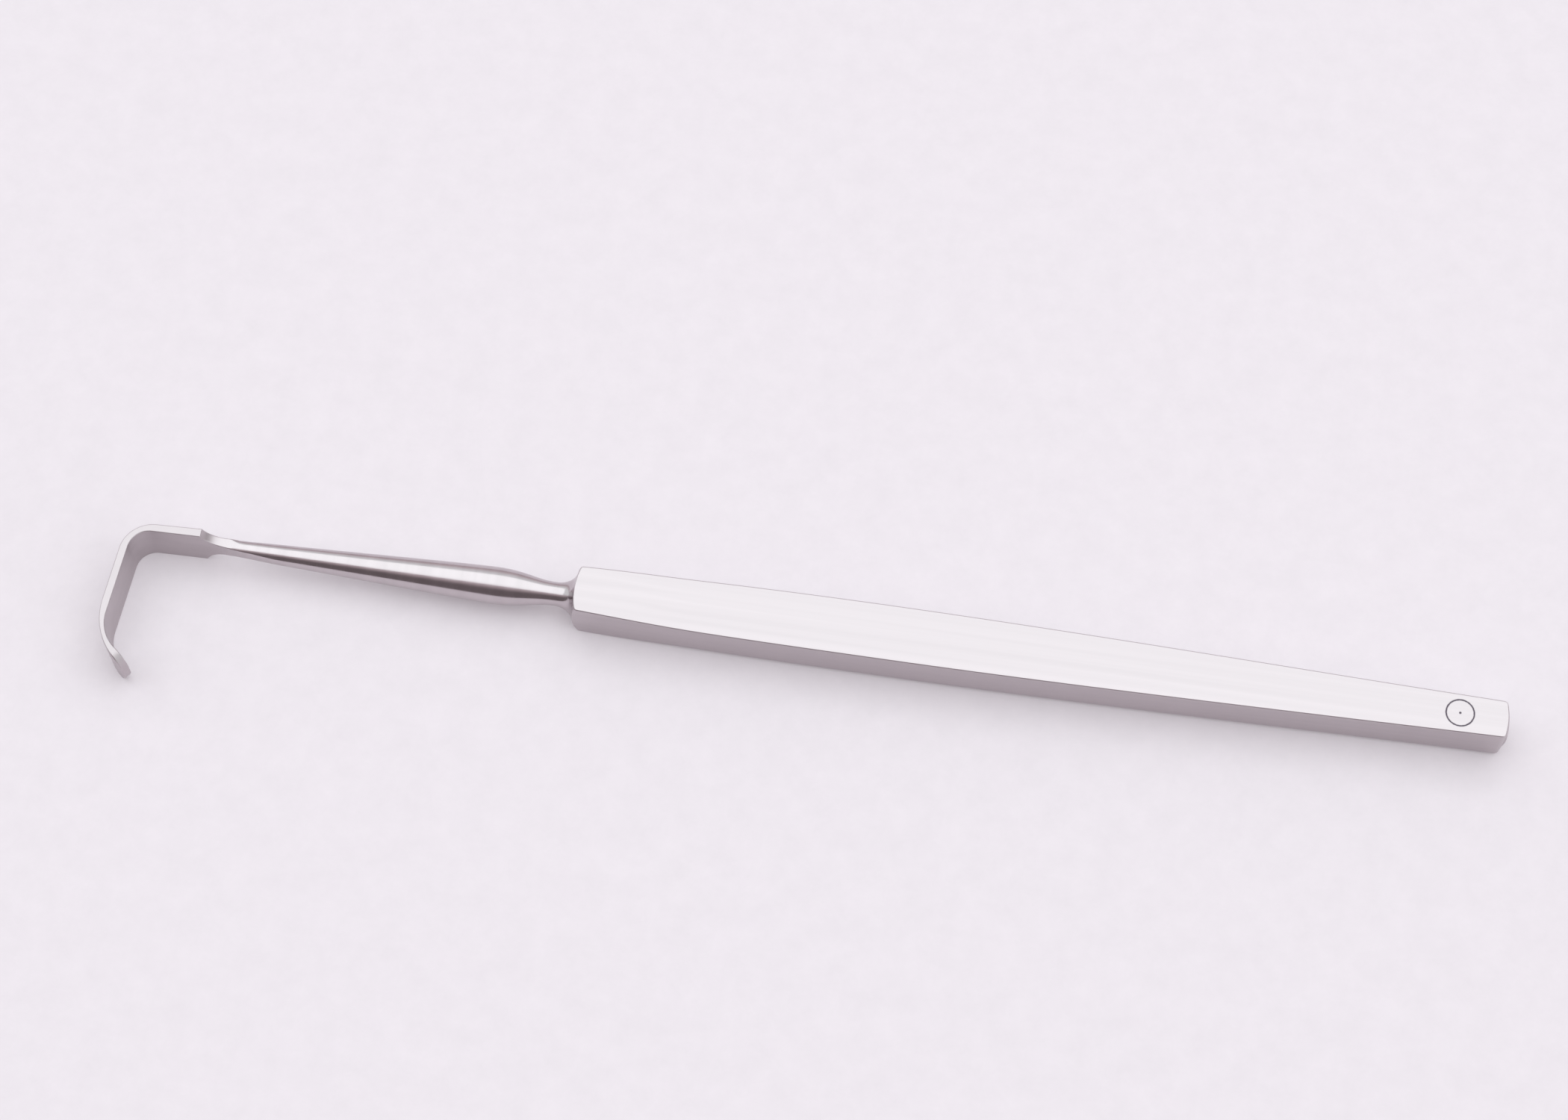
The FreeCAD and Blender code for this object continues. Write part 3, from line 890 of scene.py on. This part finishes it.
def paper_material(stage):
    """Pale mottled paper, partly seen at its own tone by the camera and in reflections."""
    material, w, shader = new_material("pale_paper")
    place = w.add("ShaderNodeTexCoord").outputs["Object"]
    mottle = w.add("ShaderNodeTexNoise", {
        "Vector": place, "Scale": MOTTLE_PER_METRE, "Detail": 5.0, "Roughness": 0.72}).outputs[0]
    tone = w.ranged(mottle, 0.0, 1.0, 1.0 - MOTTLE_DEPTH, 1.0 + MOTTLE_DEPTH, "LINEAR")
    w.join(w.vector("SCALE", tuple(stage.floor_colour), tone), shader.inputs["Base Color"])
    shader.inputs["Roughness"].default_value = PAPER_ROUGHNESS
    shader.inputs["Specular IOR Level"].default_value = PAPER_SHEEN
    ray = w.add("ShaderNodeLightPath").outputs
    through_steel = w.math("MAXIMUM", ray["Is Glossy Ray"], ray["Is Transmission Ray"])
    seen = w.math("MAXIMUM", ray["Is Camera Ray"], through_steel)
    glow = w.add("ShaderNodeEmission", {"Color": (*stage.glow_colour, 1.0), "Strength": 1.0}).outputs[0]
    glow_share = w.math("MULTIPLY", seen, stage.floor_glow)
    paper = w.add("ShaderNodeMixShader", [glow_share, shader.outputs[0], glow])
    w.join(paper.outputs[0], material.node_tree.nodes["Material Output"].inputs["Surface"])
    return material


def make_floor(stage):
    half = stage.floor_size / 2
    corners = [(x * half, y * half, cad_low.z) for x, y in ((-1, -1), (1, -1), (1, 1), (-1, 1))]
    mesh = bpy.data.meshes.new("floor")
    mesh.from_pydata(corners, [], [(0, 1, 2, 3)])
    mesh.materials.append(paper_material(stage))
    floor = bpy.data.objects.new("floor", mesh)
    bpy.context.scene.collection.objects.link(floor)


def light_room(stage):
    """A ceiling that dims towards the front, later on the right, and a wall behind with a dim corner."""
    world = bpy.data.worlds.new("room")
    bpy.context.scene.world = world
    world.use_nodes = True
    tree = world.node_tree
    w = Wiring(tree)
    parts = w.parts(w.add("ShaderNodeTexCoord").outputs["Generated"])
    to_front = w.math("ARCTAN2", w.math("MULTIPLY", parts[1], -1.0), parts[2])
    to_side = w.math("ARCSINE", parts[0])
    ahead = w.ranged(to_side, SIDE_START, SIDE_END, 0.0, stage.side_reach)
    front = w.ranged(w.math("SUBTRACT", to_front, ahead), stage.shade_start, stage.shade_end,
                     stage.room_light, stage.room_shade)
    back = w.ranged(to_front, WALL_FOOT, -stage.wall_start, stage.wall_share, 1.0)
    low_back = w.ranged(to_front, CORNER_START, CORNER_END, stage.corner_shade, 0.0)
    corner = w.math("MULTIPLY", w.ranged(to_side, SIDE_START, SIDE_END), low_back)
    lit = w.math("MULTIPLY", w.math("MULTIPLY", front, back), w.math("SUBTRACT", 1.0, corner))
    shaded = w.ranged(lit, stage.room_light / 2, stage.room_light, 1.0, 0.0)
    tint = w.mix("RGBA", shaded, (*stage.light_colour, 1.0), (*stage.shade_colour, 1.0))
    background = tree.nodes["Background"]
    w.join(lit, background.inputs["Strength"])
    w.join(tint, background.inputs["Color"])


def hang_lamp(stage):
    """One long soft lamp overhead, a little behind, turned to the middle of the table."""
    light = bpy.data.lights.new("soft_lamp", "AREA")
    light.shape = "RECTANGLE"
    light.size, light.size_y = stage.lamp_length, stage.lamp_depth
    light.energy = stage.lamp_power
    light.color = stage.light_colour
    lamp = bpy.data.objects.new("soft_lamp", light)
    lamp.location = (0.0, stage.lamp_behind, stage.lamp_height)
    lamp.rotation_euler = (-math.atan2(stage.lamp_behind, stage.lamp_height), 0.0, 0.0)
    bpy.context.scene.collection.objects.link(lamp)


def stand_camera(stage):
    """The camera at the photograph's viewing angle."""
    turn, dip = stage.camera_turn, stage.camera_dip
    right = Vector((math.cos(turn), -math.sin(turn), 0.0))
    ahead = Vector((math.sin(turn) * math.cos(dip), math.cos(turn) * math.cos(dip), -math.sin(dip)))
    up = right.cross(ahead)
    pose = Matrix((right, up, -ahead)).transposed().to_4x4()
    pose.translation = Vector(stage.camera_place)
    data = bpy.data.cameras.new("camera")
    data.sensor_width = 36.0
    data.lens = stage.camera_lens
    data.clip_start, data.clip_end = 0.01, 20.0
    camera = bpy.data.objects.new("camera", data)
    camera.matrix_world = pose
    bpy.context.scene.collection.objects.link(camera)
    bpy.context.scene.camera = camera


# --- operators and panel


class RetractorSettings(bpy.types.PropertyGroup):
    """All sizes, colours and stage settings."""

    handle: group_of(RetractorHandle, "Handle", "Sizes of the handle")
    stem: group_of(RetractorStem, "Stem", "Sizes of the stem")
    hook: group_of(RetractorHook, "Hook", "Sizes of the hook")
    finish: group_of(RetractorFinish, "Finish", "Look of the steel")
    stage: group_of(RetractorStage, "Stage", "Floor, light and camera")


class RETRACTOR_OT_make_body(bpy.types.Operator):
    """Sweep the one steel piece from the lip to the tail and give it its finish"""

    bl_idname = "retractor.make_body"
    bl_label = "Make Retractor"

    def execute(self, context):
        settings = context.scene.retractor
        source = bpy.data.objects.new("sections", station_mesh(settings))
        ring = bpy.data.objects.new("section_ring", ring_mesh())
        for helper in (source, ring):
            context.scene.collection.objects.link(helper)
        tree = sweep_tree()
        modifier = source.modifiers.new("sweep", "NODES")
        modifier.node_group = tree
        modifier[socket_key(tree, "Ring")] = ring
        modifier[socket_key(tree, "Material")] = steel_material(settings)
        depsgraph = context.evaluated_depsgraph_get()
        mesh = bpy.data.meshes.new_from_object(source.evaluated_get(depsgraph))
        mesh.name = "retractor_body"
        source.modifiers.remove(modifier)
        for helper in (source, ring):
            bpy.data.objects.remove(helper)
        if not mesh.polygons:
            raise RuntimeError("the sweep made no faces")
        body = bpy.data.objects.new("retractor_body", mesh)
        context.scene.collection.objects.link(body)
        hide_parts("retractor")
        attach(body, "root")
        return {"FINISHED"}


class RETRACTOR_OT_set_stage(bpy.types.Operator):
    """Lay the floor, light it softly and stand the camera"""

    bl_idname = "retractor.set_stage"
    bl_label = "Set Stage"

    def execute(self, context):
        stage = context.scene.retractor.stage
        make_floor(stage)
        light_room(stage)
        hang_lamp(stage)
        stand_camera(stage)
        context.scene.view_settings.view_transform = "Standard"
        return {"FINISHED"}


class RETRACTOR_PT_panel(bpy.types.Panel):
    """Sidebar panel with the steps and their settings"""

    bl_idname = "RETRACTOR_PT_panel"
    bl_label = "Handheld Retractor"
    bl_space_type = "VIEW_3D"
    bl_region_type = "UI"
    bl_category = "Retractor"

    def draw(self, context):
        settings = context.scene.retractor
        self.layout.operator(RETRACTOR_OT_make_body.bl_idname)
        for group in (settings.handle, settings.stem, settings.hook, settings.finish):
            self.draw_group(group)
        self.layout.operator(RETRACTOR_OT_set_stage.bl_idname)
        self.draw_group(settings.stage)

    def draw_group(self, group):
        box = self.layout.box()
        for key in group.__annotations__:
            box.prop(group, key)


CLASSES = (
    RetractorHandle, RetractorStem, RetractorHook, RetractorFinish, RetractorStage, RetractorSettings,
    RETRACTOR_OT_make_body, RETRACTOR_OT_set_stage, RETRACTOR_PT_panel,
)


def register():
    for cls in CLASSES:
        bpy.utils.register_class(cls)
    bpy.types.Scene.retractor = group_of(RetractorSettings, "Retractor", "Settings of the retractor")


def unregister():
    del bpy.types.Scene.retractor
    for cls in reversed(CLASSES):
        bpy.utils.unregister_class(cls)


def main():
    register()
    bpy.ops.retractor.make_body()
    bpy.ops.retractor.set_stage()


if __name__ == "__main__":
    main()
